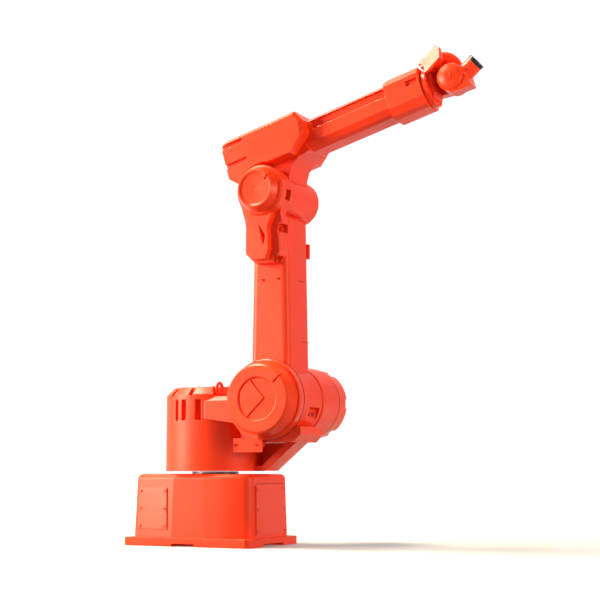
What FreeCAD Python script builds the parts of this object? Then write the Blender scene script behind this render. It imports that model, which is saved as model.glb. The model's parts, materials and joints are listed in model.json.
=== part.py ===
"""Six-axis industrial robot arm, floor mounted, 1.41 m tall in the pose it is drawn in.

Frame: origin on the floor on the turret's turning axis, +X forward, +Y to the robot's left, +Z up.
"Near" is the robot's right side (-Y), "far" its left side (+Y). All sizes are in millimetres.
"""
import FreeCAD, Part
import os
import Sketcher

os.makedirs("parts", exist_ok=True)
DOC = FreeCAD.newDocument("RobotArm")
SHEET = DOC.addObject("Spreadsheet::Sheet", "Dims")
V = FreeCAD.Vector

# name, value, what it is
SIZES = [
    ("plate_back", 220, "base plate, turret axis to rear edge"),
    ("plate_front", 196, "base plate, turret axis to front edge"),
    ("plate_y", 155, "base plate half width"),
    ("plate_t", 24, "base plate thickness"),
    ("relief", 8, "height of the relief between the plate's feet"),
    ("relief_in", 45, "how far the relief reaches in from the edge"),
    ("foot_hole", 7, "radius of the four floor bolt holes"),
    ("foot_mid", 12, "floor bolts' centre, behind the turret axis"),
    ("foot_bolt_x", 186, "floor bolts, half spacing along X"),
    ("foot_bolt_y", 138, "floor bolts, half spacing along Y"),
    ("box_top", 206, "top of the base housing"),
    ("side_bend", 260, "bend radius of the housing's long sides"),
    ("front_round", 34, "rounding of the housing's front corners"),
    ("box_round", 16, "rounding of the base housing's top edge"),
    ("cover_t", 4, "how far a sheet cover stands off"),
    ("neck_top", 213.5, "top of the neck ring"),
    ("neck_r", 69, "neck ring radius"),
    ("col_r", 146, "turret column radius"),
    ("col_z", 214.5, "bottom of the turret column"),
    ("col_top", 457, "top of the turret column"),
    ("lid_r", 74, "radius of the lid on the column"),
    ("col_chamfer", 22, "chamfer round the column's top"),
    ("sh_x", 220, "shoulder axis, forward of the turret axis"),
    ("sh_z", 417, "shoulder axis height"),
    ("cheek_y", 140, "outer face of the cheeks"),
    ("ring_r", 115, "shoulder flange ring radius"),
    ("ring_y", 105, "outer face of the flange ring"),
    ("cover_r", 97, "shoulder cover radius at its face"),
    ("dish_r", 63, "radius of the recess in the shoulder cover"),
    ("drum_r", 105, "shoulder drive drum radius"),
    ("gap_near", 77, "inner face of the shoulder's near side"),
    ("gap_far", 67, "inner face of the shoulder's far side"),
    ("near_face", 150, "near face of the shoulder cover"),
    ("cap_y", 175, "where the drive's cap starts"),
    ("drum_end", 256, "far end of the shoulder drive"),
    ("hub_room", 108, "clearance radius round the lower arm's hub"),
    ("arm_near", 75, "near face of the lower arm"),
    ("arm_far", 65, "far face of the lower arm"),
    ("arm_len", 600, "shoulder axis to elbow axis"),
    ("arm_low", 64, "lower arm half width at the shoulder"),
    ("arm_high", 53, "lower arm half width at the elbow"),
    ("hub_r", 103, "lower arm's shoulder hub radius"),
    ("lobe_r", 74, "elbow housing radius round the elbow axis"),
    ("lobe_out", 82, "elbow housing reach behind the elbow axis"),
    ("lobe_y", 140, "near face of the elbow housing's upper lobe"),
    ("elbow_face", 168, "near face of the elbow cover"),
    ("elbow_r", 68, "elbow drum radius"),
    ("elbow_far", 125, "far end of the elbow drum"),
    ("elbow_near", 73, "near end of the elbow drum"),
    ("elbow_room", 74, "clearance radius round the elbow drum"),
    ("rise", 16, "forearm's rise above level, degrees"),
    ("tube_low", 84, "underside of the forearm tube above the elbow axis"),
    ("tube_top", 174, "top of the forearm tube above the elbow axis"),
    ("tube_w", 55, "forearm tube half width"),
    ("tube_s", 445, "front end of the forearm tube ahead of the elbow axis"),
    ("rear_w", 105, "rear housing half width"),
    ("rear_s", 101, "rear end of the forearm behind the elbow axis"),
    ("rear_top", 198, "top of the rear housing above the elbow axis"),
    ("block_w", 60, "front block half width"),
    ("block_s", 525, "front face of the forearm ahead of the elbow axis"),
    ("block_low", 72, "underside of the front block"),
    ("block_top", 190, "top of the front block"),
    ("roll_n", 128, "wrist roll axis above the elbow axis"),
    ("flange_r", 56, "wrist roll flange radius"),
    ("bend_s", 606, "wrist bend axis ahead of the elbow axis"),
    ("bend_rest", 25, "wrist bend in the drawn pose, degrees"),
    ("bend_r", 40, "wrist body radius round the bend axis"),
    ("yoke_back", -65, "back of the yoke from the bend axis"),
    ("arm_in", 33, "inner face of the yoke's far arm"),
    ("arm_out", 62, "outer face of the yoke's far arm"),
    ("tool_len", 82, "wrist bend axis to the tool flange face"),
    ("tool_drop", 12, "tool axis below the bend axis"),
    ("tool_r", 25, "tool flange radius"),
    ("tool_pcd", 20, "tool flange bolt circle radius"),
    ("tool_hole", 2.5, "tool flange bolt hole radius before tapping"),
    ("tool_pilot", 12.5, "tool flange centring recess radius"),
]


def fill_sheet():
    """One row per size: what it is, and the value under its own name."""
    for row, (name, value, note) in enumerate(SIZES, start=1):
        SHEET.set(f"A{row}", note)
        SHEET.set(f"B{row}", str(value))
        SHEET.setAlias(f"B{row}", name)
    DOC.recompute()


fill_sheet()
SIZE = {name: value for name, value, note in SIZES}


def number(text):
    """The value of a sum of names and plain numbers, such as "sh_x - hub_r"."""
    total, sign = 0.0, 1.0
    for token in str(text).split():
        if token in "+-":
            sign = -1.0 if token == "-" else 1.0
        else:
            total += sign * float(SIZE.get(token, token))
            sign = 1.0
    return total


def formula(text):
    """The same sum as an expression that reads the sheet."""
    return " ".join("Dims." + t if t in SIZE else t for t in str(text).split())


def bind(obj, prop, text):
    obj.setExpression(prop, formula(text))


def origin_item(body, role):
    return next(f for f in body.Origin.OriginFeatures if f.Role == role)


class Piece:
    """A PartDesign body built from closed outlines on its own origin planes."""

    def __init__(self, name, at=("0", "0", "0"), turn=None):
        self.body = DOC.addObject("PartDesign::Body", name)
        self.body.Label = name
        rotation = turn if turn is not None else FreeCAD.Rotation()
        self.body.Placement = FreeCAD.Placement(V(*[number(a) for a in at]), rotation)
        for axis, text in zip("xyz", at):
            if turn is None and text != "0":
                bind(self.body, f"Placement.Base.{axis}", text)
        self.count = 0

    def sketch(self, plane, offset="0"):
        self.count += 1
        sk = self.body.newObject("Sketcher::SketchObject", f"{self.body.Name}_sk{self.count}")
        sk.AttachmentSupport = [(origin_item(self.body, plane), "")]
        sk.MapMode = "FlatFace"
        sk.AttachmentOffset = FreeCAD.Placement(V(0, 0, number(offset)), FreeCAD.Rotation())
        if offset != "0":
            bind(sk, "AttachmentOffset.Base.z", offset)
        return sk

    def outline(self, plane, points, offset="0"):
        """A closed polygon whose corners follow the sheet."""
        sk = self.sketch(plane, offset)
        corners = [V(number(x), number(y), 0) for x, y in points]
        for i, corner in enumerate(corners):
            sk.addGeometry(Part.LineSegment(corner, corners[(i + 1) % len(corners)]))
        for i in range(len(corners)):
            sk.addConstraint(Sketcher.Constraint("Coincident", i, 2, (i + 1) % len(corners), 1))
        for i, (x, y) in enumerate(points):
            for kind, text in (("DistanceX", x), ("DistanceY", y)):
                index = sk.addConstraint(Sketcher.Constraint(kind, -1, 1, i, 1, number(text)))
                if any(t in SIZE for t in str(text).split()):
                    bind(sk, f"Constraints[{index}]", text)
        return sk

    def circles(self, plane, centres, radius, offset="0"):
        """Equal circles, each centred on a corner given by names."""
        sk = self.sketch(plane, offset)
        for x, y in centres:
            centre = V(number(x), number(y), 0)
            i = sk.addGeometry(Part.Circle(centre, V(0, 0, 1), number(radius)))
            r = sk.addConstraint(Sketcher.Constraint("Radius", i, number(radius)))
            bind(sk, f"Constraints[{r}]", radius)
            for kind, text in (("DistanceX", x), ("DistanceY", y)):
                sk.addConstraint(Sketcher.Constraint(kind, -1, 1, i, 3, number(text)))
        return sk

    def feature(self, kind, sk, **props):
        feat = self.body.newObject(f"PartDesign::{kind}", f"{self.body.Name}_{kind}{self.count}")
        feat.Profile = (sk, [""])
        for prop, value in props.items():
            setattr(feat, prop, value)
        sk.Visibility = False
        self.body.Tip = feat
        return feat

    def pad(self, sk, length, **props):
        feat = self.feature("Pad", sk, **props)
        feat.Length = number(length)
        bind(feat, "Length", length)
        DOC.recompute()
        return feat

    def removes(self, feat, before):
        """Stop the build if a cut missed the piece."""
        DOC.recompute()
        if feat.Shape.Volume > before - 1:
            raise RuntimeError(f"{feat.Name} removes nothing")
        return feat

    def cut(self, sk, length, both=False, **props):
        before = self.body.Tip.Shape.Volume
        feat = self.feature("Pocket", sk, **props)
        feat.Length = number(length)
        bind(feat, "Length", length)
        feat.Midplane = both
        return self.removes(feat, before)

    def revolve(self, sk, axis):
        feat = self.feature("Revolution", sk)
        feat.ReferenceAxis = (origin_item(self.body, axis), [""])
        feat.Angle = 360
        DOC.recompute()
        return feat

    def groove(self, sk, axis):
        before = self.body.Tip.Shape.Volume
        feat = self.feature("Groove", sk)
        feat.ReferenceAxis = (origin_item(self.body, axis), [""])
        feat.Angle = 360
        return self.removes(feat, before)

    def dress(self, kind, size, wanted):
        """Fillet or chamfer every edge the test accepts."""
        tip = self.body.Tip
        names = [f"Edge{i}" for i, edge in enumerate(tip.Shape.Edges, start=1) if wanted(edge)]
        feat = self.body.newObject(f"PartDesign::{kind}", f"{self.body.Name}_{kind}{self.count}")
        self.count += 1
        feat.Base = (tip, names)
        prop = "Radius" if kind == "Fillet" else "Size"
        setattr(feat, prop, number(size))
        bind(feat, prop, size)
        self.body.Tip = feat
        DOC.recompute()
        return feat

    def polar(self, feat, axis, count):
        pattern = self.body.newObject("PartDesign::PolarPattern", f"{self.body.Name}_ring")
        pattern.Originals = [feat]
        pattern.Axis = (origin_item(self.body, axis), [""])
        pattern.Angle = 360
        pattern.Occurrences = count
        self.body.Tip = pattern
        DOC.recompute()
        return pattern


def level(edge, z):
    """True for an edge that lies flat at height z of its own piece."""
    box = edge.BoundBox
    return box.ZLength < 0.01 and abs(box.ZMin - z) < 0.01


def along(edge, axis):
    """True for a straight edge along X, Y or Z."""
    if edge.Curve.TypeId != "Part::GeomLine":
        return False
    d = edge.Curve.Direction
    return abs(abs(getattr(d, axis)) - 1) < 1e-6


SHOULDER = ("sh_x", "0", "sh_z")
ELBOW = ("sh_x", "0", "sh_z + arm_len")
FINISHED = []


def finish(name, piece, *others):
    """Name the finished part, cut back wherever the named neighbours already fill the space."""
    solid = piece.body if isinstance(piece, Piece) else piece
    for i, other in enumerate(others):
        trimmed = DOC.addObject("Part::Cut", f"{name}_trim{i}")
        trimmed.Base = solid
        trimmed.Tool = DOC.getObject(other)
        solid = trimmed
    solid.Label = name
    FINISHED.append((name, solid))
    DOC.recompute()


def mirrored(points):
    """Close an outline given as its +Y half by adding the same corners at -Y, in reverse."""
    flip = {"+": "-", "-": "+"}
    other = [("- " + " ".join(flip.get(t, t) for t in y.split()), z) for y, z in reversed(points)]
    return points + other


def turned(name, at, axis, profile):
    """A piece turned about Y from (radius, y) corners, or about X from (x, radius) corners."""
    p = Piece(name, at)
    p.revolve(p.outline("XY_Plane", profile), axis)
    return p


# ---------------------------------------------------------------- base
def base_plate():
    p = Piece("base_plate_body")
    corners = [("- plate_back", "- plate_y"), ("plate_front", "- plate_y"),
               ("plate_front", "plate_y"), ("- plate_back", "plate_y")]
    p.pad(p.outline("XY_Plane", corners), "plate_t")
    p.dress("Fillet", "12", lambda e: along(e, "z"))
    for side in "-+":
        near = f"{side} plate_y {'+' if side == '-' else '-'} relief_in"
        gap = [("- 55", near), ("22", near), ("22", f"{side} plate_y {side} 5"), ("- 55", f"{side} plate_y {side} 5")]
        p.cut(p.outline("XY_Plane", gap), "relief", Reversed=True)
    for end, sign, back in (("plate_front", "+", "-"), ("plate_back", "-", "+")):
        edge = f"{sign} {end}"
        gap = [(f"{edge} {back} relief_in", "- 62"), (f"{edge} {sign} 5", "- 62"),
               (f"{edge} {sign} 5", "62"), (f"{edge} {back} relief_in", "62")]
        p.cut(p.outline("XY_Plane", gap), "relief", Reversed=True)
    bolts = [(f"- foot_mid {sx} foot_bolt_x", f"{sy} foot_bolt_y") for sx in "-+" for sy in "-+"]
    p.cut(p.circles("XY_Plane", bolts, "foot_hole"), "plate_t + plate_t", Reversed=True)
    finish("base_plate", p)


HOUSING_SIDE = [("- 213", "112"), ("- 62", "142"), ("45", "142"), ("122", "138"), ("180", "120"), ("188", "96")]


def base_housing():
    p = Piece("base_housing_body")
    p.pad(p.outline("XY_Plane", mirrored_y(HOUSING_SIDE), "plate_t"), "box_top - plate_t", TaperAngle=-2)
    bends = (lambda e: e.BoundBox.ZLength > 150 and 30 < e.BoundBox.XMin and e.BoundBox.XMax < 130)
    p.dress("Fillet", "side_bend", bends)
    corners = (lambda e: e.BoundBox.ZLength > 150 and e.BoundBox.XMin > 165 and abs(e.BoundBox.YMin) > 110)
    p.dress("Fillet", "front_round", corners)
    p.dress("Fillet", "14", lambda e: e.BoundBox.ZLength > 150 and e.BoundBox.XMax < - 190)
    p.dress("Fillet", "box_round", lambda e: level(e, number("box_top")))
    finish("base_housing", p)


def mirrored_y(points):
    """Close an outline given as its +Y half, (x, y) corners."""
    return points + [(x, "- " + y) for x, y in reversed(points)]


def housing_cover(name, outline, bottom, height):
    """A thin sheet cover that follows the housing's leaning wall."""
    p = Piece(name + "_body")
    p.pad(p.outline("XY_Plane", outline, bottom), height, TaperAngle=-2)
    finish(name, p, "base_housing_body")


def base_covers():
    near = [("- 194", "- 106"), ("- 194", "- 118.5"), ("- 80", "- 141"), ("- 80", "- 120")]
    housing_cover("side_cover_near", near, "48", "118")
    far = [("- 194", "106"), ("- 80", "120"), ("- 80", "141"), ("- 194", "118.5")]
    housing_cover("side_cover_far", far, "48", "118")
    front = [("170", "- 92"), ("191", "- 92"), ("191", "92"), ("170", "92")]
    housing_cover("front_cover", front, "34", "138")
    rear = [("- 195", "- 84"), ("- 195", "84"), ("- 217", "84"), ("- 217", "- 84")]
    housing_cover("rear_panel", rear, "48", "118")


def rear_sockets():
    p = Piece("rear_sockets_body")
    p.pad(p.outline("YZ_Plane", [("- 64", "79"), ("64", "79"), ("64", "131"), ("- 64", "131")], "- 221"), "15")
    p.pad(p.circles("YZ_Plane", [("- 38", "105"), ("38", "105")], "22", "- 236"), "30")
    p.cut(p.circles("YZ_Plane", [("- 38", "105"), ("38", "105")], "16", "- 236"), "14", Reversed=True)
    finish("rear_sockets", p, "base_housing_body", "rear_panel_body")


def neck_ring():
    p = Piece("neck_ring_body")
    profile = [("0", "box_top"), ("neck_r", "box_top"), ("neck_r", "neck_top"), ("0", "neck_top")]
    p.revolve(p.outline("XZ_Plane", profile), "Z_Axis")
    finish("neck_ring", p)


# ---------------------------------------------------------------- turret
def turret_column():
    p = Piece("turret_column_body")
    profile = [("0", "col_z"), ("col_r", "col_z"), ("col_r", "col_top - col_chamfer"),
               ("col_r - col_chamfer", "col_top"), ("0", "col_top")]
    p.revolve(p.outline("XZ_Plane", profile), "Z_Axis")
    notch = p.outline("XY_Plane", [("126", "- 7"), ("156", "- 7"), ("156", "7"), ("126", "7")], "col_top - 26")
    p.polar(p.cut(notch, "34", Reversed=True), "Z_Axis", 12)
    room = p.circles("XZ_Plane", [("sh_x", "sh_z")], "hub_room", "- gap_far")
    p.cut(room, "gap_far + gap_near", Reversed=True)
    lean = p.outline("XZ_Plane", [("78", "col_top + 4"), ("156", "383"), ("156", "col_top + 4")], "- arm_far - 6")
    p.cut(lean, "arm_far + arm_near + 12", Reversed=True)
    for x0, x1 in (("- 57", "- 45"), ("- 32", "- 15"), ("14", "34")):
        window = [(x0, "360"), (x1, "360"), (x1, "420"), (x0, "420")]
        p.cut(p.outline("XZ_Plane", window, "col_r - 19"), "30", Reversed=True)
        p.cut(p.outline("XZ_Plane", window, "- col_r + 19"), "30", Reversed=False)
    finish("turret_column", p)


def column_lid():
    p = Piece("column_lid_body")
    profile = [("0", "col_top"), ("lid_r", "col_top"), ("lid_r", "col_top + 3"), ("0", "col_top + 3")]
    p.revolve(p.outline("XZ_Plane", profile), "Z_Axis")
    finish("column_lid", p)


CHEEK = [("36", "365"), ("60", "362"), ("140", "350"), ("175", "310"), ("sh_x", "302"),
         ("sh_x", "440"), ("140", "428"), ("36", "428")]


def cheek(name, y_start, y_size, outer):
    """The casting that carries one side of the shoulder out from the column."""
    p = Piece(name + "_body")
    p.pad(p.outline("XZ_Plane", CHEEK, y_start), y_size)
    p.dress("Chamfer", "13", lambda e: abs(e.BoundBox.YMin - outer) < 0.1 and abs(e.BoundBox.YMax - outer) < 0.1
            and e.BoundBox.ZMin > 427)
    return p


def cheeks():
    near = cheek("near_cheek", "gap_near", "cheek_y - gap_near", -number("cheek_y"))
    finish("near_cheek", near, "turret_column_body", "flange_ring_body", "shoulder_cover_body")
    far = cheek("far_cheek", "- cheek_y", "cheek_y - gap_far", number("cheek_y"))
    finish("far_cheek", far, "turret_column_body", "drive_drum_body")


def shoulder():
    ring = turned("flange_ring_body", SHOULDER, "Y_Axis",
                  [("0", "- gap_near"), ("ring_r - 4", "- gap_near"), ("ring_r", "- gap_near - 4"),
                   ("ring_r", "- ring_y + 3"), ("ring_r - 3", "- ring_y"), ("0", "- ring_y")])
    finish("flange_ring", ring, "turret_column_body")
    cover = turned("shoulder_cover_body", SHOULDER, "Y_Axis",
                   [("0", "- ring_y"), ("ring_r - 7", "- ring_y"), ("ring_r - 7", "- ring_y - 6"),
                    ("cover_r + 2", "- near_face + 6"), ("cover_r - 4", "- near_face"), ("0", "- near_face")])
    dish = [("0", "- near_face"), ("dish_r", "- near_face"), ("dish_r - 5", "- near_face + 6"),
            ("0", "- near_face + 6")]
    cover.groove(cover.outline("XY_Plane", dish), "Y_Axis")
    chevron = [("- 23", "53"), ("20", "2"), ("- 34", "- 50"), ("- 50", "- 26"), ("- 54", "20")]
    cover.pad(cover.outline("XZ_Plane", chevron, "near_face - 6"), "4")
    slit = [("50", "46"), ("54", "42"), ("88", "76"), ("84", "80")]
    cover.cut(cover.outline("XZ_Plane", slit, "near_face"), "14", Reversed=False)
    finish("shoulder_cover", cover)
    drum = turned("drive_drum_body", SHOULDER, "Y_Axis",
                  [("0", "gap_far"), ("drum_r - 3", "gap_far"), ("drum_r", "gap_far + 3"), ("drum_r", "cap_y"),
                   ("0", "cap_y")])
    finish("drive_drum", drum, "turret_column_body")
    cap = turned("drum_cap_body", SHOULDER, "Y_Axis",
                 [("0", "cap_y"), ("drum_r - 2", "cap_y"), ("drum_r - 2", "drum_end - 26"),
                  ("drum_r - 10", "drum_end - 8"), ("drum_r - 24", "drum_end"), ("0", "drum_end")])
    slot = cap.outline("XY_Plane", [("drum_r - 16", "cap_y + 34"), ("drum_r + 8", "cap_y + 34"),
                                    ("drum_r + 8", "drum_end + 2"), ("drum_r - 16", "drum_end + 2")])
    cap.polar(cap.cut(slot, "28", both=True), "Y_Axis", 6)
    finish("drum_cap", cap)


def front_strut():
    p = Piece("front_strut_body")
    outline = [("128", "col_z + 1"), ("186", "col_z + 1"), ("302", "312"), ("302", "328"), ("286", "328"),
               ("170", "230"), ("128", "230")]
    p.pad(p.outline("XZ_Plane", outline, "- 46"), "46 + 26")
    finish("front_strut", p, "turret_column_body")
    web = Piece("strut_web_body")
    outline = [("128", "231"), ("171", "231"), ("248", "296"), ("128", "296")]
    web.pad(web.outline("XZ_Plane", outline, "- 40"), "12")
    finish("strut_web", web, "turret_column_body", "front_strut_body")


def shoulder_bridge():
    p = Piece("shoulder_bridge_body")
    outline = [("126", "297"), ("300", "297"), ("322", "318"), ("322", "340"), ("126", "340")]
    p.pad(p.outline("XZ_Plane", outline, "- gap_far"), "gap_far + gap_near")
    room = p.circles("XZ_Plane", [("sh_x", "sh_z")], "hub_room", "- gap_far - 5")
    p.cut(room, "gap_far + gap_near + 10", Reversed=True)
    finish("shoulder_bridge", p, "turret_column_body", "front_strut_body", "strut_web_body")


def bracket_plate():
    p = Piece("bracket_plate_body")
    p.pad(p.outline("XZ_Plane", [("105", "283"), ("208", "283"), ("208", "296.5"), ("105", "296.5")], "78"), "12")
    p.pad(p.outline("XZ_Plane", [("105", "268"), ("208", "268"), ("208", "308"), ("105", "308")], "90"), "4")
    finish("bracket_plate", p, "turret_column_body", "near_cheek_body", "flange_ring_body")


def lifting_eye():
    ring = DOC.addObject("Part::Torus", "eye_ring")
    ring.Radius1 = 15
    ring.Radius2 = 4.5
    ring.Placement = FreeCAD.Placement(V(74, -106, 452), FreeCAD.Rotation(V(0, 1, 0), 90))
    shank = DOC.addObject("Part::Cylinder", "eye_shank")
    shank.Radius = 7
    shank.Height = 11
    shank.Placement = FreeCAD.Placement(V(74, -106, 428), FreeCAD.Rotation())
    eye = DOC.addObject("Part::Fuse", "eye")
    eye.Base = ring
    eye.Tool = shank
    finish("lifting_eye", eye, "turret_column_body")


# ---------------------------------------------------------------- lower arm
def arm_hub():
    p = turned("arm_hub_body", SHOULDER, "Y_Axis",
               [("0", "- arm_near"), ("hub_r - 4", "- arm_near"), ("hub_r", "- arm_near + 4"),
                ("hub_r", "arm_far - 4"), ("hub_r - 4", "arm_far"), ("0", "arm_far")])
    pocket = p.outline("XY_Plane", [("hub_r - 18", "- 14"), ("hub_r + 6", "- 14"), ("hub_r + 6", "48"),
                                    ("hub_r - 18", "48")], "- 58")
    p.cut(pocket, "38", Reversed=True)
    finish("arm_hub", p)


def arm_beam():
    p = Piece("arm_beam_body", SHOULDER)
    outline = [("- arm_low", "0"), ("arm_low", "0"), ("arm_high", "arm_len"), ("- arm_high", "arm_len")]
    p.pad(p.outline("XZ_Plane", outline, "- arm_far"), "arm_far + arm_near")
    p.dress("Fillet", "18", lambda e: abs(e.BoundBox.ZLength - number("arm_len")) < 1)
    room = p.circles("XZ_Plane", [("0", "arm_len")], "elbow_room", "- arm_far - 10")
    p.cut(room, "arm_far + arm_near + 20", Reversed=True)
    top = p.outline("XZ_Plane", [("- 80", "arm_len - 52"), ("34", "arm_len - 52"), ("80", "arm_len - 98"),
                                 ("80", "arm_len + 20"), ("- 80", "arm_len + 20")], "- arm_far - 10")
    p.cut(top, "arm_far + arm_near + 20", Reversed=True)
    finish("arm_beam", p, "arm_hub_body")


def elbow_housing():
    p = Piece("elbow_housing_body", ELBOW)
    profile = [("0", "- arm_near"), ("lobe_r", "- arm_near"), ("lobe_r", "- lobe_y + 6"),
               ("lobe_r - 6", "- lobe_y"), ("0", "- lobe_y")]
    p.revolve(p.outline("XY_Plane", profile), "Y_Axis")
    lower = [("- 60", "22"), ("- lobe_out", "4"), ("- lobe_out", "- 22"), ("- 72", "- 46"), ("- 62", "- 82"),
             ("- 59", "- 100"), ("- 59", "- 178"), ("- 28", "- 208"), ("40", "- 208"), ("64", "- 168"),
             ("64", "- 100"), ("54", "- 70"), ("60", "0")]
    p.pad(p.outline("XZ_Plane", lower, "arm_near"), "35")
    upper = [("- 46", "0"), ("40", "0"), ("34", "- 80"), ("22", "- 104"), ("26", "- 170"), ("16", "- 200"),
             ("- 24", "- 200"), ("- 46", "- 178"), ("- 46", "- 96")]
    p.pad(p.outline("XZ_Plane", upper, "arm_near + 35"), "22")
    wedge = [("- 6", "- 97"), ("18", "- 132"), ("10", "- 162")]
    p.cut(p.outline("XZ_Plane", wedge, "arm_near + 57"), "10", Reversed=False)
    for x0, x1, z0, z1 in (("44", "90", "- 28", "2"), ("46", "90", "- 124", "- 98"), ("30", "90", "- 212", "- 190")):
        window = p.outline("XZ_Plane", [(x0, z0), (x1, z0), (x1, z1), (x0, z1)], "arm_near + 8")
        p.cut(window, "28", Reversed=True)
    finish("elbow_housing", p)


def elbow_cover():
    p = turned("elbow_cover_body", ELBOW, "Y_Axis",
               [("0", "- lobe_y"), ("64", "- lobe_y"), ("64", "- lobe_y - 10"), ("54", "- elbow_face"),
                ("50", "- elbow_face"), ("44", "- elbow_face + 5"), ("0", "- elbow_face + 7")])
    slit = [("28", "26"), ("32", "22"), ("62", "52"), ("58", "56")]
    p.cut(p.outline("XZ_Plane", slit, "elbow_face"), "16", Reversed=False)
    finish("elbow_cover", p)


def arm_clamp():
    p = Piece("arm_clamp_body", ELBOW)
    outline = [("18", "- 176"), ("57", "- 176"), ("57", "- 132"), ("18", "- 132")]
    p.pad(p.outline("XZ_Plane", outline, "- arm_far - 14"), "14")
    p.dress("Chamfer", "5", lambda e: abs(e.BoundBox.YMin - number("arm_far + 14")) < 0.1
            and abs(e.BoundBox.YMax - number("arm_far + 14")) < 0.1)
    finish("arm_clamp", p)


# ---------------------------------------------------------------- forearm, drawn level then raised
def forearm_turn():
    return FreeCAD.Rotation(V(0, -1, 0), number("rise"))


def forearm_piece(name):
    return Piece(name + "_body", ELBOW, forearm_turn())


def elbow_drum():
    p = forearm_piece("elbow_drum")
    p.revolve(p.outline("XY_Plane", [("0", "- elbow_near"), ("elbow_r", "- elbow_near"),
                                     ("elbow_r", "elbow_far - 14"), ("elbow_r - 5", "elbow_far - 4"),
                                     ("elbow_r - 14", "elbow_far"), ("0", "elbow_far")]), "Y_Axis")
    finish("elbow_drum", p)


REAR = [("- rear_s", "80"), ("- 78", "58"), ("10", "84"), ("106", "84"), ("163", "130"), ("168", "165"),
        ("151", "rear_top"), ("- 80", "rear_top"), ("- rear_s", "190")]


def rear_housing():
    p = forearm_piece("rear_housing")
    p.pad(p.outline("XZ_Plane", REAR, "- rear_w"), "rear_w + rear_w")
    w = number("rear_w")
    faces = (lambda e: abs(abs(e.BoundBox.YMin) - w) < 0.1 and abs(abs(e.BoundBox.YMax) - w) < 0.1
             and e.BoundBox.YLength < 0.1 and e.BoundBox.ZMax > 150 and e.BoundBox.XMax > -90)
    p.dress("Chamfer", "10", faces)
    room = p.circles("XZ_Plane", [("0", "0")], "lobe_out + 9", "- rear_w - 10")
    p.cut(room, "rear_w + rear_w + 20", Reversed=True)
    for low, high in (("172", "186"), ("112", "126")):
        slot = [("- rear_s - 5", low), ("- 28", low), ("- 28", high), ("- rear_s - 5", high)]
        p.cut(p.outline("XZ_Plane", slot, "- rear_w"), "8", Reversed=True)
        p.cut(p.outline("XZ_Plane", slot, "rear_w"), "8", Reversed=False)
    finish("rear_housing", p)


def rear_lid():
    p = forearm_piece("rear_lid")
    p.pad(p.outline("YZ_Plane", [("- 80", "92"), ("80", "92"), ("80", "168"), ("- 80", "168")], "- rear_s - 4"), "10")
    finish("rear_lid", p, "rear_housing_body")


def top_lid():
    p = forearm_piece("top_lid")
    p.pad(p.outline("XY_Plane", [("- 70", "- 78"), ("130", "- 78"), ("130", "78"), ("- 70", "78")], "rear_top"), "cover_t")
    finish("top_lid", p)


def saddle():
    p = forearm_piece("saddle")
    outline = [("- 62", "40"), ("- 62", "84"), ("140", "118"), ("150", "tube_low"), ("112", "tube_low - 6"),
               ("84", "62"), ("68", "36"), ("62", "10"), ("0", "0")]
    p.pad(p.outline("XZ_Plane", outline, "- 58"), "58 + 58")
    finish("saddle", p, "elbow_drum_body", "rear_housing_body")


def forearm_tube():
    p = forearm_piece("forearm_tube")
    half = [("28", "tube_low"), ("42", "tube_low + 6"), ("tube_w", "tube_low + 22"), ("tube_w", "tube_top - 7"),
            ("tube_w - 7", "tube_top")]
    p.pad(p.outline("YZ_Plane", mirrored(half), "100"), "tube_s - 100")
    strip = [("176", "tube_top - 32"), ("432", "tube_top - 32"), ("432", "tube_top - 8"), ("176", "tube_top - 8")]
    p.cut(p.outline("XZ_Plane", strip, "tube_w - 7"), "7", Reversed=True)
    p.cut(p.outline("XZ_Plane", strip, "- tube_w"), "7", Reversed=True)
    finish("forearm_tube", p, "rear_housing_body", "saddle_body")


def front_block():
    p = forearm_piece("front_block")
    half = [("26", "block_low"), ("46", "block_low + 6"), ("block_w", "block_low + 28"),
            ("block_w", "block_top - 20"), ("block_w - 20", "block_top")]
    p.pad(p.outline("YZ_Plane", mirrored(half), "tube_s - 27"), "block_s - tube_s + 27")
    lead = [("tube_s - 30", "180"), ("tube_s - 18", "block_top"), ("tube_s", "block_top + 2"),
            ("tube_s - 30", "block_top + 2")]
    p.cut(p.outline("XZ_Plane", lead, "- block_w - 5"), "block_w + block_w + 10", Reversed=True)
    window = [("484", "142"), ("520", "142"), ("520", "157"), ("484", "157")]
    p.cut(p.outline("XZ_Plane", window, "block_w"), "8", Reversed=False)
    p.cut(p.outline("XZ_Plane", window, "- block_w"), "8", Reversed=True)
    top = p.outline("XY_Plane", [("478", "- 30"), ("514", "- 30"), ("514", "30"), ("478", "30")], "block_top")
    p.cut(top, "5", Reversed=False)
    finish("front_block", p, "forearm_tube_body")


# ---------------------------------------------------------------- wrist
def wrist_piece(name, turn):
    """A piece drawn about the bend point: +X along the forearm or the tool, Y along the bend axis."""
    local = V(number("bend_s"), 0, number("roll_n"))
    p = Piece(name + "_body", ("0", "0", "0"), turn)
    p.body.Placement = FreeCAD.Placement(forearm_turn().multVec(local) + V(*[number(a) for a in ELBOW]), turn)
    return p


def bend_turn():
    return forearm_turn().multiply(FreeCAD.Rotation(V(0, -1, 0), number("bend_rest")))


def roll_flange():
    p = wrist_piece("roll_flange", forearm_turn())
    back = "block_s - bend_s + 1.5"
    p.revolve(p.outline("XY_Plane", [(back, "0"), (back, "flange_r - 2"), (back + " + 2", "flange_r"),
                                     ("yoke_back", "flange_r"), ("yoke_back", "0")]), "X_Axis")
    finish("roll_flange", p)


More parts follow.
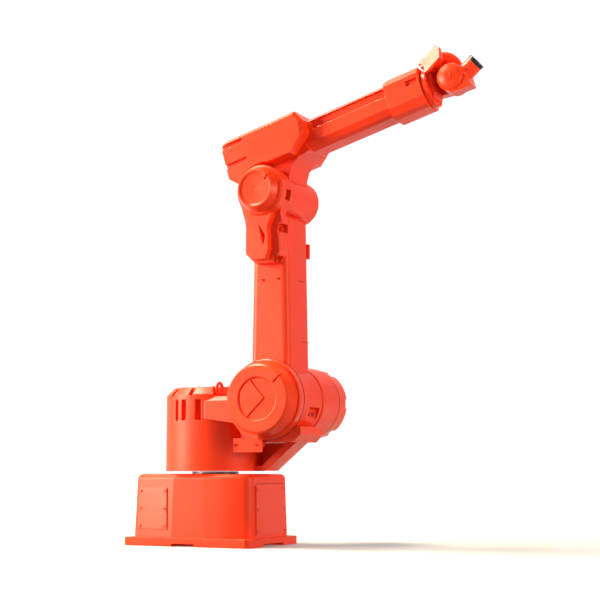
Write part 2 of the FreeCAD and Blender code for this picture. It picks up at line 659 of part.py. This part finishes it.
def yoke():
    """The casting on the roll flange: an upper block whose near edge is cut off in one broad slope."""
    p = wrist_piece("yoke", forearm_turn())
    slab = [("yoke_back", "34"), ("- 40", "40"), ("- 24", "52"), ("- 10", "62"), ("- 8", "99"), ("- 19", "115"),
            ("- 84", "84"), ("- 84", "80"), ("- 76", "80"), ("- 76", "63"), ("yoke_back", "63")]
    p.pad(p.outline("XZ_Plane", slab, "8"), "37")
    slope = (lambda e: abs(e.BoundBox.YMin + 45) < 0.1 and e.BoundBox.YLength < 0.1
             and abs(e.BoundBox.XLength - 65) < 2 and e.BoundBox.ZMax > 110)
    chamfer = p.dress("Chamfer", "36", slope)
    chamfer.ChamferType = "Two distances"
    chamfer.Size2 = 52
    far = [("yoke_back", "- 36"), ("- 60", "- 36"), ("- 53", "- 20"), ("- 49", "34"), ("- 34", "60"), ("- 30", "110"),
           ("- 84", "84"), ("- 84", "80"), ("- 76", "80"), ("- 76", "63"), ("yoke_back", "63")]
    p.pad(p.outline("XZ_Plane", far, "- arm_in"), "arm_in + 8")
    p.pad(p.outline("XZ_Plane", far[:4] + [("yoke_back", "34")], "8"), "24")
    finish("yoke", p)


def belt_housing():
    """The far arm: it runs from the drive's round housing down to the bend axis."""
    p = wrist_piece("belt_housing", forearm_turn())
    p.pad(p.circles("XZ_Plane", [("- 36", "54")], "57", "- arm_out"), "arm_out - arm_in")
    p.dress("Fillet", "12", lambda e: e.BoundBox.YLength < 0.1 and abs(e.BoundBox.YMin - number("arm_in")) < 0.1)
    link = [("- 64", "- 16"), ("- 12", "- 24"), ("22", "- 22"), ("34", "8"), ("12", "50"), ("- 64", "50")]
    p.pad(p.outline("XZ_Plane", link, "- arm_out"), "arm_out - arm_in")
    behind = [("- 120", "- 60"), ("yoke_back", "- 60"), ("yoke_back", "120"), ("- 120", "120")]
    p.cut(p.outline("XZ_Plane", behind, "- arm_out - 5"), "arm_out - arm_in + 10", Reversed=True)
    finish("belt_housing", p)
    cover = wrist_piece("belt_cover", forearm_turn())
    plate = [("- 60", "- 10"), ("- 10", "- 18"), ("19", "- 16"), ("28", "8"), ("12", "52"), ("10", "74"),
             ("- 8", "94"), ("- 36", "104"), ("- 60", "98")]
    cover.pad(cover.outline("XZ_Plane", plate, "- arm_out - cover_t"), "cover_t")
    finish("belt_cover", cover)


def bend_body():
    """A drum round the bend axis that runs out into the neck, whose axis lies a little lower."""
    p = wrist_piece("bend_body", bend_turn())
    barrel = [("0", "- 50"), ("16", "- 49"), ("28", "- 45"), ("36", "- 39"), ("bend_r", "- 30"),
              ("bend_r", "arm_in - 2"), ("0", "arm_in - 2")]
    p.revolve(p.outline("XY_Plane", barrel), "Y_Axis")
    p.pad(p.circles("YZ_Plane", [("0", "- tool_drop")], "26"), "tool_len - 10", TaperAngle=-1.2)
    p.dress("Fillet", "7", lambda e: e.BoundBox.XMin > 5 and e.BoundBox.XMax < 50 and e.BoundBox.YLength > 20)
    finish("bend_body", p)
    cover = wrist_piece("bend_cover", forearm_turn())
    box = [("- 19", "- 10"), ("- 21", "- 29"), ("- 9", "- 46"), ("54", "- 49"), ("48", "- 31"), ("48", "- 8")]
    cover.pad(cover.outline("XZ_Plane", box, "- 24"), "24 + 34")
    cover.dress("Chamfer", "20", lambda e: e.BoundBox.YLength < 0.1 and abs(e.BoundBox.YMin - 24) < 0.1
                and e.BoundBox.ZMax < -45)
    finish("bend_cover", cover, "bend_body_body")


def tool_flange():
    p = wrist_piece("tool_flange", bend_turn())
    p.body.Placement.Base += bend_turn().multVec(V(0, 0, -number("tool_drop")))
    profile = [("tool_len - 10", "0"), ("tool_len - 10", "tool_r"), ("tool_len", "tool_r"),
               ("tool_len", "tool_pilot"), ("tool_len - 6", "tool_pilot"), ("tool_len - 6", "0")]
    p.revolve(p.outline("XY_Plane", profile), "X_Axis")
    hole = p.circles("YZ_Plane", [("tool_pcd", "0")], "tool_hole", "tool_len - 10")
    p.polar(p.cut(hole, "30", Reversed=True), "X_Axis", 4)
    finish("tool_flange", p)


BUILDERS = [
    base_plate, base_housing, base_covers, rear_sockets, neck_ring,
    turret_column, column_lid, shoulder, cheeks, front_strut, shoulder_bridge, bracket_plate, lifting_eye,
    arm_hub, arm_beam, elbow_housing, elbow_cover, arm_clamp,
    elbow_drum, rear_housing, rear_lid, top_lid, saddle, forearm_tube, front_block,
    roll_flange, yoke, belt_housing, bend_body, tool_flange,
]
for build in BUILDERS:
    build()
DOC.recompute()

broken = [o.Name for o in DOC.Objects if "Invalid" in o.State or "Error" in o.State]
broken += [name for name, o in FINISHED if o.Shape.isNull() or not o.Shape.isValid()]
if broken:
    raise RuntimeError("broken objects: " + ", ".join(broken))
for name, piece in FINISHED:
    piece.Shape.exportStep(f"parts/{name}.step")
    print(name, len(piece.Shape.Solids), round(piece.Shape.Volume / 1e6, 3), "litres")
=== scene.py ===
"""Looks for the six-axis robot arm: satin orange-red paint, fixings, seams, floor, light and camera.

Every piece is placed in the CAD's frame, in metres: +Z up, +X forward, "near" is -Y, "far" is +Y.
"""
import json
import math

import bmesh
import bpy
from mathutils import Matrix, Vector


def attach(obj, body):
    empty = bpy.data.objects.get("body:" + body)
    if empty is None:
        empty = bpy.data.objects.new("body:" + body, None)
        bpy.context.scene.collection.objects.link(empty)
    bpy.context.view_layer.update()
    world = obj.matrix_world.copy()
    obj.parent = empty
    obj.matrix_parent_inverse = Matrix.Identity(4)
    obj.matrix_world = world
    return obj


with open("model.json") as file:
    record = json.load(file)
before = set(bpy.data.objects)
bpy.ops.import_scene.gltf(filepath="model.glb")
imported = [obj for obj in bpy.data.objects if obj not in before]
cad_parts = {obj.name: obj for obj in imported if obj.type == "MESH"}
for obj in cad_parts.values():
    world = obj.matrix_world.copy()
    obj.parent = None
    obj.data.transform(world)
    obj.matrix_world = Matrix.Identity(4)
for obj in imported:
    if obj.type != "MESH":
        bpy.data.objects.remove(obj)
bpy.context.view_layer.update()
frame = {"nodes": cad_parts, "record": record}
NODES = frame["nodes"]
JOINTS = {j["name"]: j for j in frame["record"]["behaviour"]["joints"]}
X, Y, Z = Vector((1, 0, 0)), Vector((0, 1, 0)), Vector((0, 0, 1))

SHOULDER = Vector(JOINTS["shoulder"]["pos_m"])
ELBOW = Vector(JOINTS["elbow"]["pos_m"])
BEND = Vector(JOINTS["wrist_bend"]["pos_m"])
AHEAD = Vector(JOINTS["wrist_roll"]["axis"]).normalized()
ABOVE = Vector((-AHEAD.z, 0, AHEAD.x))


# ---------------------------------------------------------------- materials
class Tree:
    """Short names for building a material's nodes."""

    def __init__(self, name):
        self.material = bpy.data.materials.new(name)
        self.material.use_nodes = True
        self.nodes = self.material.node_tree.nodes
        self.links = self.material.node_tree.links
        self.shader = self.nodes["Principled BSDF"]
        self.where = self.nodes.new("ShaderNodeTexCoord").outputs["Object"]

    def node(self, kind, **values):
        made = self.nodes.new(kind)
        for key, value in values.items():
            setattr(made, key, value)
        return made

    def noise(self, scale, detail=3.0, rough=0.55, stretch=(1, 1, 1)):
        turn = self.node("ShaderNodeMapping")
        turn.inputs["Scale"].default_value = stretch
        self.links.new(self.where, turn.inputs["Vector"])
        made = self.node("ShaderNodeTexNoise")
        made.inputs["Scale"].default_value = scale
        made.inputs["Detail"].default_value = detail
        made.inputs["Roughness"].default_value = rough
        self.links.new(turn.outputs["Vector"], made.inputs["Vector"])
        return made.outputs["Fac"]

    def spread(self, value, low, high, to_low=0.0, to_high=1.0):
        made = self.node("ShaderNodeMapRange")
        for key, number in (("From Min", low), ("From Max", high), ("To Min", to_low), ("To Max", to_high)):
            made.inputs[key].default_value = number
        self.links.new(value, made.inputs["Value"])
        return made.outputs["Result"]

    def maths(self, kind, a, b):
        made = self.node("ShaderNodeMath", operation=kind)
        for socket, value in zip(made.inputs, (a, b)):
            if isinstance(value, (int, float)):
                socket.default_value = value
            else:
                self.links.new(value, socket)
        return made.outputs[0]

    def mix(self, amount, a, b):
        made = self.node("ShaderNodeMix", data_type="RGBA")
        self.links.new(amount, made.inputs["Factor"])
        for socket, value in (("A", a), ("B", b)):
            target = [s for s in made.inputs if s.name == socket and s.type == "RGBA"][0]
            if isinstance(value, tuple):
                target.default_value = (*value, 1)
            else:
                self.links.new(value, target)
        return [s for s in made.outputs if s.type == "RGBA"][0]

    def edges(self, radius):
        """About 1 where the surface turns sharply within the radius, 0 on flats."""
        rounded = self.node("ShaderNodeBevel", samples=6)
        rounded.inputs["Radius"].default_value = radius
        plain = self.node("ShaderNodeNewGeometry")
        dot = self.node("ShaderNodeVectorMath", operation="DOT_PRODUCT")
        self.links.new(rounded.outputs["Normal"], dot.inputs[0])
        self.links.new(plain.outputs["Normal"], dot.inputs[1])
        return self.spread(dot.outputs["Value"], 0.995, 0.88)

    def finish(self, colour, roughness, height, depth, soft_edge=0.0):
        """Wire up the shader: bump of the given depth in metres, over edges softened by a small radius."""
        self.links.new(colour, self.shader.inputs["Base Color"])
        self.links.new(roughness, self.shader.inputs["Roughness"])
        bump = self.node("ShaderNodeBump")
        bump.inputs["Strength"].default_value = 0.5
        bump.inputs["Distance"].default_value = depth
        self.links.new(height, bump.inputs["Height"])
        if soft_edge:
            rounded = self.node("ShaderNodeBevel", samples=6)
            rounded.inputs["Radius"].default_value = soft_edge
            self.links.new(rounded.outputs["Normal"], bump.inputs["Normal"])
        self.links.new(bump.outputs["Normal"], self.shader.inputs["Normal"])
        return self.material


def paint(name, colour, dark, worn, satin, soft_edge):
    """Sprayed satin paint: fine orange peel, faint clouding, fine dark specks, polish wear on edges."""
    t = Tree(name)
    clouds = t.spread(t.noise(5.0, 4.0), 0.35, 0.7)
    specks = t.spread(t.noise(420.0, 2.0), 0.62, 0.8)
    base = t.mix(t.maths("MULTIPLY", clouds, 0.55), colour, dark)
    base = t.mix(t.maths("MULTIPLY", specks, 0.10), base, dark)
    rubbed = t.maths("MULTIPLY", t.edges(0.0022), t.spread(t.noise(38.0, 5.0, 0.7), 0.40, 0.62))
    base = t.mix(t.maths("MULTIPLY", rubbed, 0.55), base, worn)
    smears = t.spread(t.noise(9.0, 6.0, 0.65, (1, 1, 3)), 0.3, 0.75, satin - 0.04, satin + 0.09)
    rough = t.maths("SUBTRACT", smears, t.maths("MULTIPLY", rubbed, 0.08))
    t.shader.inputs["Specular IOR Level"].default_value = 0.22
    t.shader.inputs["Coat Weight"].default_value = 0.03
    t.shader.inputs["Coat Roughness"].default_value = 0.28
    peel = t.maths("ADD", t.noise(650.0, 2.0), t.maths("MULTIPLY", t.noise(160.0, 2.0), 0.8))
    return t.finish(base, rough, peel, 0.00012, soft_edge)


def steel(name, colour, dark, roughness, stretch=(1, 1, 1)):
    """Machined or blackened steel: tool lines, stains, brighter rubbed edges."""
    t = Tree(name)
    lines = t.noise(900.0, 2.0, 0.5, stretch)
    stains = t.spread(t.noise(60.0, 5.0), 0.4, 0.7)
    base = t.mix(stains, colour, dark)
    rubbed = t.maths("MULTIPLY", t.edges(0.0008), 0.5)
    base = t.mix(rubbed, base, tuple(min(1.0, c * 2.2 + 0.05) for c in colour))
    rough = t.maths("ADD", t.spread(lines, 0.3, 0.7, roughness - 0.06, roughness + 0.06),
                    t.maths("MULTIPLY", stains, 0.08))
    t.shader.inputs["Metallic"].default_value = 1.0
    return t.finish(base, rough, lines, 0.00005, 0.0005)


def plastic(name, colour, roughness):
    """Moulded plastic or sealant with a fine spark-eroded grain."""
    t = Tree(name)
    grain = t.noise(1400.0, 3.0)
    base = t.mix(t.spread(t.noise(30.0, 4.0), 0.35, 0.7), colour, tuple(c * 0.6 for c in colour))
    rough = t.spread(grain, 0.3, 0.7, roughness - 0.07, roughness + 0.07)
    return t.finish(base, rough, grain, 0.00008, 0.0006)


ORANGE, DEEP, WORN = (0.93, 0.046, 0.006), (0.82, 0.032, 0.004), (0.95, 0.17, 0.06)
CAST_PAINT = paint("orange_cast_paint", ORANGE, DEEP, WORN, satin=0.42, soft_edge=0.0026)
COVER_PAINT = paint("orange_cover_paint", (0.94, 0.050, 0.007), DEEP, WORN, satin=0.33, soft_edge=0.0012)
BLACK_STEEL = steel("blackened_steel", (0.028, 0.028, 0.03), (0.016, 0.016, 0.018), 0.38)
BRIGHT_STEEL = steel("turned_steel", (0.42, 0.42, 0.43), (0.30, 0.30, 0.31), 0.34, (1, 1, 14))
SCREW_PAINT = paint("orange_screw_paint", (0.82, 0.040, 0.006), (0.62, 0.026, 0.004), (0.5, 0.2, 0.12),
                    satin=0.30, soft_edge=0.0004)
# Dark seam colour; on the front cover's strip it is painted shadow standing in for the gap under the cover's lip.
DARK_SEAM = plastic("seam_sealant_and_painted_gap_shadow", (0.16, 0.018, 0.008), 0.55)
SOCKET_PLASTIC = plastic("socket_plastic", (0.035, 0.035, 0.038), 0.5)

CAST = {"turret_column", "near_cheek", "far_cheek", "front_strut", "strut_web", "shoulder_bridge", "arm_beam",
        "arm_hub", "elbow_housing", "elbow_drum", "saddle", "forearm_tube", "front_block", "yoke",
        "base_housing", "base_plate", "drive_drum"}
OWN_MATERIAL = {"neck_ring": BRIGHT_STEEL, "rear_sockets": SOCKET_PLASTIC, "tool_flange": BLACK_STEEL,
                "lifting_eye": SCREW_PAINT}
for node_name, obj in NODES.items():
    finish = OWN_MATERIAL.get(node_name, CAST_PAINT if node_name in CAST else COVER_PAINT)
    for material_slot in obj.material_slots:
        material_slot.link = "OBJECT"
        material_slot.material = finish


# ---------------------------------------------------------------- mesh helpers
def frame_at(point, out, along=None):
    """A matrix whose Z points out of a surface at the point; X runs as near to `along` as it can."""
    z = Vector(out).normalized()
    hint = Vector(along) if along is not None else (X if abs(z.x) < 0.9 else Z)
    x = (hint - z * hint.dot(z)).normalized()
    y = z.cross(x)
    return Matrix(((x.x, y.x, z.x, point[0]), (x.y, y.y, z.y, point[1]), (x.z, y.z, z.z, point[2]), (0, 0, 0, 1)))


def lathe(bm, place, profile, count=24):
    """A turned surface from (radius, height) corners, closed where both ends lie on the axis."""
    rings = []
    for radius, height in profile:
        if radius == 0:
            rings.append([bm.verts.new(place @ Vector((0, 0, height)))])
            continue
        turn = [2 * math.pi * i / count for i in range(count)]
        corners = [Vector((radius * math.cos(a), radius * math.sin(a), height)) for a in turn]
        rings.append([bm.verts.new(place @ corner) for corner in corners])
    for low, high in zip(rings, rings[1:]):
        for i in range(count):
            k = (i + 1) % count
            corners = [low[i % len(low)], low[k % len(low)], high[k % len(high)], high[i % len(high)]]
            unique = list(dict.fromkeys(corners))
            if len(unique) > 2:
                bm.faces.new(unique)


def cap_screw(bm, place, size):
    """Socket head cap screw of thread size `size`: head, chamfer and a hexagon socket."""
    r, h, hexagon = size * 0.75, size * 0.95, size * 0.46
    count = 24
    lathe(bm, place, [(0, -0.0004), (r, -0.0004), (r, h * 0.88), (r * 0.88, h), (hexagon * 1.1, h)], count)
    rim = list(bm.verts)[-count:]
    socket = []
    for i in range(count):
        a = 2 * math.pi * i / count
        reach = hexagon * math.cos(math.pi / 6) / math.cos((a % (math.pi / 3)) - math.pi / 6)
        socket.append((reach * math.cos(a), reach * math.sin(a)))
    top = [bm.verts.new(place @ Vector((x, y, h))) for x, y in socket]
    floor = [bm.verts.new(place @ Vector((x, y, h * 0.45))) for x, y in socket]
    for i in range(count):
        k = (i + 1) % count
        bm.faces.new((rim[i], rim[k], top[k], top[i]))
        bm.faces.new((top[i], top[k], floor[k], floor[i]))
    bm.faces.new(floor)


def button_screw(bm, place, size):
    """Low domed cover screw with a washer under it."""
    r = size * 0.95
    lathe(bm, place, [(0, -0.0003), (r * 1.25, -0.0003), (r * 1.25, 0.0008), (r, 0.0009), (r * 0.94, size * 0.22),
                      (r * 0.72, size * 0.40), (r * 0.42, size * 0.5), (r * 0.40, size * 0.2), (0, size * 0.2)], 20)


def plug(bm, place, radius, height):
    """Round closing plug with a stepped rim."""
    lathe(bm, place, [(0, -0.0005), (radius, -0.0005), (radius, height * 0.6), (radius * 0.9, height),
                      (radius * 0.62, height), (radius * 0.56, height * 0.55), (0, height * 0.55)], 28)


def strip(bm, points, out, width, proud):
    """A thin closed band along straight runs of a surface, standing `proud` of it."""
    out = Vector(out).normalized()
    sunk = -0.0003
    section = ((-1, sunk), (-1, proud * 0.7), (-0.6, proud), (0.6, proud), (1, proud * 0.7), (1, sunk))
    rows = []
    for i, point in enumerate(points):
        before = (point - points[i - 1]).normalized() if i else None
        after = (points[i + 1] - point).normalized() if i + 1 < len(points) else None
        way = ((before or after) + (after or before)).normalized()
        side = way.cross(out).normalized()
        reach = width / 2 / max(0.35, abs(side.dot((after or before).cross(out).normalized())))
        rows.append([bm.verts.new(point + side * reach * s + out * h) for s, h in section])
    for a, b in zip(rows, rows[1:]):
        for i in range(len(section)):
            k = (i + 1) % len(section)
            bm.faces.new((a[i], a[k], b[k], b[i]))
    bm.faces.new(list(reversed(rows[0])))
    bm.faces.new(rows[-1])


SHARP = math.radians(35)


def piece(name, body, material, build):
    """Run a build function on a fresh mesh and make the result ride on a body."""
    bm = bmesh.new()
    build(bm)
    bmesh.ops.recalc_face_normals(bm, faces=bm.faces)
    mesh = bpy.data.meshes.new(name)
    bm.to_mesh(mesh)
    bm.free()
    obj = bpy.data.objects.new(name, mesh)
    bpy.context.scene.collection.objects.link(obj)
    mesh.materials.append(material)
    for poly in mesh.polygons:
        poly.use_smooth = True
    mesh.set_sharp_from_angle(angle=SHARP)
    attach(obj, body)
    return obj


def ring_of(centre, out, radius, count, start=0.0, along=None):
    """Places evenly round a circle in the plane facing `out`."""
    base = frame_at(centre, out, along)
    for i in range(count):
        a = start + 2 * math.pi * i / count
        yield base @ Matrix.Translation((radius * math.cos(a), radius * math.sin(a), 0))


def screws(name, body, places, size, kind=cap_screw):
    """One piece holding all the screws of one cover. size is the thread in metres."""
    def build(bm):
        for place in places:
            kind(bm, place, size)
            bm.verts.ensure_lookup_table()
    return piece(name, body, SCREW_PAINT, build)


# ---------------------------------------------------------------- fixings and seams
def mm(x, y, z):
    return Vector((x, y, z)) / 1000


def about(point):
    """A function that gives points around an axis point, in millimetres."""
    return lambda x, y, z: point + mm(x, y, z)


def fore(s, n, y):
    """A point on the forearm: s ahead of the elbow axis, n above it, y to the far side, in millimetres."""
    return ELBOW + (AHEAD * s + ABOVE * n + Y * y) / 1000


def wrist(x, y, z):
    """A point on the wrist's yoke: x ahead of the bend axis and z above it, in millimetres."""
    return BEND + (AHEAD * x + Y * y + ABOVE * z) / 1000


LEAN = math.tan(math.radians(2))    # the base housing's walls lean in by this much per unit of height
SEAM_RISE = 0.0004                  # how far a painted-over seam stands off its surface, in metres
COVER_SCREW = 0.0045                # thread of the screws in sheet covers, in metres


def lean_points(across, heights, foot, normal, bottom):
    """Places on a base wall that leans in by 2 degrees. foot gives the wall's two lower ends."""
    a, b = (mm(*p, bottom) for p in foot)
    normal = Vector(normal).normalized()
    for t in across:
        for z in heights:
            rise = z - bottom
            yield frame_at(a.lerp(b, t) + Z * rise / 1000 - normal * rise * LEAN / 1000, normal + Z * LEAN)


def base_details():
    """Cover screws, the rear sockets' pins and collars, and a dark strip over the front cover that paints the shadow
    in the gap under the cover's lip.
    """
    side = (-0.1936, -0.981)
    cover_rows = (57, 107, 157)
    socket_y, socket_z = (-38, 38), 105
    for name, flip in (("near", 1), ("far", -1)):
        foot = ((-194, -118.5 * flip), (-80, -141 * flip))
        places = lean_points((0.09, 0.91), cover_rows, foot, (side[0], side[1] * flip, 0), 48)
        screws(f"side_cover_{name}_screws", "base", places, COVER_SCREW, button_screw)
    places = lean_points((0.06, 0.94), (45, 104, 162), ((191, -92), (191, 92)), (1, 0, 0), 34)
    screws("front_cover_screws", "base", places, COVER_SCREW, button_screw)
    places = lean_points((0.05, 0.95), cover_rows, ((-217, -84), (-217, 84)), (-1, 0, 0), 48)
    screws("rear_panel_screws", "base", places, COVER_SCREW, button_screw)

    def sockets(bm):
        for y in socket_y:
            centre = mm(-223, y, socket_z)
            for place in ring_of(centre, -X, 0.0095, 8):
                lathe(bm, place, [(0, 0), (0.0014, 0), (0.0014, 0.006), (0.0009, 0.0075), (0, 0.0075)], 10)
            lathe(bm, frame_at(centre, -X), [(0, 0), (0.0035, 0), (0.0035, 0.007), (0.002, 0.008), (0, 0.008)], 14)
    piece("socket_pins", "base", BRIGHT_STEEL, sockets)

    def collars(bm):
        inner, outer = 0.0222, 0.0275
        for y in socket_y:
            place = frame_at(mm(-221, y, socket_z), -X)
            lathe(bm, place, [(inner, 0), (outer, 0), (outer, 0.004), (outer - 0.0013, 0.0052), (inner, 0.0052),
                              (inner, 0)], 40)
    piece("socket_collars", "base", BLACK_STEEL, collars)

    def front_line(bm):
        x = 187.6 - (178 - 24) * LEAN
        # Painted shadow: a dark strip standing proud along the top of the front cover, in place of the shade in the
        # gap under the cover's lip.
        strip(bm, [mm(x, -88, 178), mm(x, 88, 178)], (1, 0, LEAN), 0.0022, 0.0005)
    piece("front_lip_shadow_strip", "base", DARK_SEAM, front_line)


def turret_details():
    """Screws of the lid, the shoulder's flange ring, the drive's end and the bracket, and the drive's seams."""
    lid = ring_of(mm(0, 0, 460), Z, 0.064, 8, math.radians(22.5))
    screws("lid_screws", "turret", lid, 0.006, button_screw)
    at = about(SHOULDER)
    rim = ring_of(at(0, -105, 0), -Y, 0.1115, 12, math.radians(15))
    screws("shoulder_rim_screws", "turret", rim, 0.0032)
    end = ring_of(at(0, 256, 0), Y, 0.058, 6, math.radians(30))
    screws("drive_end_screws", "turret", end, 0.008, button_screw)
    screws("drive_end_plug", "turret", [frame_at(at(0, 256, 0), Y)], 0.030,
           lambda bm, place, size: plug(bm, place, size, 0.0019))
    low_screws = [frame_at(mm(x, -94, 288.5), -Y) for x in (122, 190)]
    screws("bracket_screws", "turret", low_screws, 0.005)

    def joint_lines(bm):
        for y in (-77.6, 175):
            radius = 0.1052 if y > 0 else 0.1152
            place = frame_at(at(0, y, 0), Y)
            lathe(bm, place, [(radius - 0.001, -0.0009), (radius + 0.0004, -0.0009), (radius + 0.0004, 0.0009),
                              (radius - 0.001, 0.0009), (radius - 0.001, -0.0009)], 96)
    piece("shoulder_seams", "turret", DARK_SEAM, joint_lines)


def lower_arm_details():
    """Screws on the arm's near face, in its hub's pocket, in the elbow's recesses and in the clamp, and two seams."""
    near = [frame_at(mm(x, -75, z), -Y) for x, z in ((197, 765), (248, 766))]
    screws("arm_near_screws", "lower_arm", near, 0.005)
    hub = [frame_at(about(SHOULDER)(85, y, -39), X) for y in (4, 30)]
    screws("hub_screws", "lower_arm", hub, 0.009)

    def slits(bm):
        half_low, half_high = 0.064, 0.053
        taper = (half_low - half_high) / (ELBOW.z - SHOULDER.z)
        for y0, y1, z in ((-7, 38, 766), (12, 60, 588)):
            x = 1000 * (SHOULDER.x + half_low - taper * (z / 1000 - SHOULDER.z))
            strip(bm, [mm(x, y0, z), mm(x, y1, z + 1)], (1, 0, taper), 0.0018, SEAM_RISE)
    piece("arm_front_lines", "lower_arm", DARK_SEAM, slits)
    at = about(ELBOW)
    recess = [frame_at(at(44, -97, -13), X), frame_at(at(46, -97, -111), X), frame_at(at(30, -97, -200), X)]
    screws("elbow_recess_screws", "lower_arm", recess, 0.009)
    clamp = [frame_at(at(x, 79, z), Y) for x in (28, 47) for z in (-165, -143)]
    screws("clamp_screws", "lower_arm", clamp, 0.004)


def forearm_details():
    """Screws of the rear and top lids and of the elbow drum's end, and seams on both sides."""
    lid = [frame_at(fore(s, 202, y), ABOVE, AHEAD) for s in (-60, 30, 120) for y in (-70, 70)]
    screws("top_lid_screws", "forearm", lid, COVER_SCREW, button_screw)
    rear = [frame_at(fore(-105, n, y), -AHEAD) for n in (99, 161) for y in (-73, 0, 73)]
    screws("rear_lid_screws", "forearm", rear, COVER_SCREW, button_screw)
    drum = ring_of(ELBOW + Y * 0.125, Y, 0.040, 6, 0.3)
    screws("elbow_end_screws", "forearm", drum, 0.006)
    rear_half, block_half = 105, 60
    for name, side in (("near", -1), ("far", 1)):
        def lines(bm, side=side):
            rear_face, block_face = rear_half * side, block_half * side
            strip(bm, [fore(96, 96, rear_face), fore(40, 96, rear_face)], Y * side, 0.0016, SEAM_RISE)
            strip(bm, [fore(484, 101, block_face), fore(516, 101, block_face)], Y * side, 0.0020, SEAM_RISE)
        piece(f"forearm_{name}_lines", "forearm", DARK_SEAM, lines)


def wrist_details():
    """Screws round the roll flange where the yoke leaves them room, screws of the belt cover, and a plug."""
    rim = ring_of(wrist(-65, 0, 0), AHEAD, 0.0505, 10, math.radians(18), Y)
    clear = [p for p in rim if (p.translation - BEND).dot(ABOVE) < 0.030 or (p.translation - BEND).y < -0.046]
    screws("roll_rim_screws", "wrist_roll", clear, 0.0035)
    cover = [frame_at(wrist(x, 66, z), Y) for x, z in ((-52, 0), (-52, 90), (-14, 90), (3, 60), (20, 5), (8, -8))]
    screws("belt_cover_screws", "wrist_roll", cover, 0.0035, button_screw)
    dome = [frame_at(wrist(0, -50, 0), -Y)]
    screws("bend_plug", "wrist_bend", dome, 0.012, lambda bm, place, size: plug(bm, place, size, 0.0012))


base_details()
turret_details()
lower_arm_details()
forearm_details()
wrist_details()


# ---------------------------------------------------------------- camera, light, floor
def set_camera():
    """Low three-quarter view of the near side and the front, looking slightly up."""
    data = bpy.data.cameras.new("camera")
    camera = bpy.data.objects.new("camera", data)
    bpy.context.scene.collection.objects.link(camera)
    azimuth, rise = math.radians(27.0), math.radians(7.2)
    forward = Vector((-math.sin(azimuth) * math.cos(rise), math.cos(azimuth) * math.cos(rise), math.sin(rise)))
    camera.location = (2.057, -3.485, 0.216)
    camera.rotation_mode = "QUATERNION"
    camera.rotation_quaternion = forward.to_track_quat("-Z", "Y")
    data.sensor_width, data.lens = 36.0, 81.0
    data.clip_start, data.clip_end = 0.05, 60.0
    bpy.context.scene.camera = camera


def area_light(name, place, target, size, watts, colour):
    data = bpy.data.lights.new(name, "AREA")
    data.shape, data.size, data.energy, data.color = "DISK", size, watts, colour
    lamp = bpy.data.objects.new(name, data)
    bpy.context.scene.collection.objects.link(lamp)
    lamp.location = place
    lamp.rotation_mode = "QUATERNION"
    lamp.rotation_quaternion = (Vector(target) - Vector(place)).to_track_quat("-Z", "Y")


def set_light():
    """Soft warm light from the left and above, a faint fill in front, and a brighter sky behind the robot."""
    scene = bpy.context.scene
    scene.view_settings.view_transform = "Standard"
    world = bpy.data.worlds.new("studio")
    world.use_nodes = True
    background = world.node_tree.nodes["Background"]
    nodes, links = world.node_tree.nodes, world.node_tree.links
    facing = nodes.new("ShaderNodeVectorMath")
    facing.operation = "DOT_PRODUCT"
    facing.inputs[1].default_value = (-0.454, 0.891, 0.0)    # away from the camera
    links.new(nodes.new("ShaderNodeTexCoord").outputs["Generated"], facing.inputs[0])
    bright = nodes.new("ShaderNodeMapRange")
    for key, number in (("From Min", 0.25), ("From Max", 0.85), ("To Min", 0.28), ("To Max", 1.0)):
        bright.inputs[key].default_value = number
    links.new(facing.outputs["Value"], bright.inputs["Value"])
    links.new(bright.outputs["Result"], background.inputs["Strength"])
    background.inputs["Color"].default_value = (1.0, 1.0, 1.0, 1)
    scene.world = world
    aim = (0.2, 0, 0.8)
    area_light("left_softbox", (-3.3, -2.5, 1.4), aim, 2.2, 430, (1.0, 0.88, 0.70))
    area_light("top_key", (-1.9, -0.5, 4.4), aim, 1.6, 500, (1.0, 0.89, 0.66))
    area_light("front_fill", (3.4, -0.4, 1.2), aim, 1.6, 75, (1.0, 0.84, 0.66))


def stage_surface(name, profile, material):
    """A round surface of the set, turned about the robot's axis. It gives no bounce light to the robot."""
    bm = bmesh.new()
    lathe(bm, Matrix.Identity(4), profile, 48)
    bmesh.ops.recalc_face_normals(bm, faces=bm.faces)
    mesh = bpy.data.meshes.new(name)
    bm.to_mesh(mesh)
    bm.free()
    surface = bpy.data.objects.new(name, mesh)
    bpy.context.scene.collection.objects.link(surface)
    mesh.materials.append(material)
    surface.visible_diffuse = False
    return surface


def set_floor():
    """Pale floor with a painted glow that grows away from the robot to the white of a round backdrop."""
    t = Tree("pale_floor_painted_glow")
    tone = t.mix(t.spread(t.noise(1.5, 3.0), 0.3, 0.7), (0.52, 0.515, 0.51), (0.49, 0.488, 0.487))
    away = t.node("ShaderNodeVectorMath", operation="LENGTH")
    t.links.new(t.where, away.inputs[0])
    # Painted glow: the floor emits light, weak near the robot and growing with distance from it until it is near
    # white.
    t.links.new(t.spread(away.outputs["Value"], 1.2, 4.5, 0.12, 0.95), t.shader.inputs["Emission Strength"])
    t.shader.inputs["Emission Color"].default_value = (1, 1, 1, 1)
    floor_with_painted_glow = t.finish(tone, t.spread(t.noise(40.0), 0.3, 0.7, 0.6, 0.75), t.noise(300.0), 0.0002)
    below = -0.0005
    rings = (0, 0.5, 1, 2, 3, 5, 8, 14, 31)
    stage_surface("floor", [(radius, below) for radius in rings], floor_with_painted_glow)

    glow = Tree("white_backdrop")
    glow.shader.inputs["Base Color"].default_value = (0, 0, 0, 1)
    glow.shader.inputs["Emission Color"].default_value = (1, 1, 1, 1)
    glow.shader.inputs["Emission Strength"].default_value = 1.0
    backdrop = stage_surface("backdrop", [(30, -0.5), (30, 24), (0, 24)], glow.material)
    backdrop.visible_glossy = False
    backdrop.visible_shadow = False


set_camera()
set_light()
set_floor()
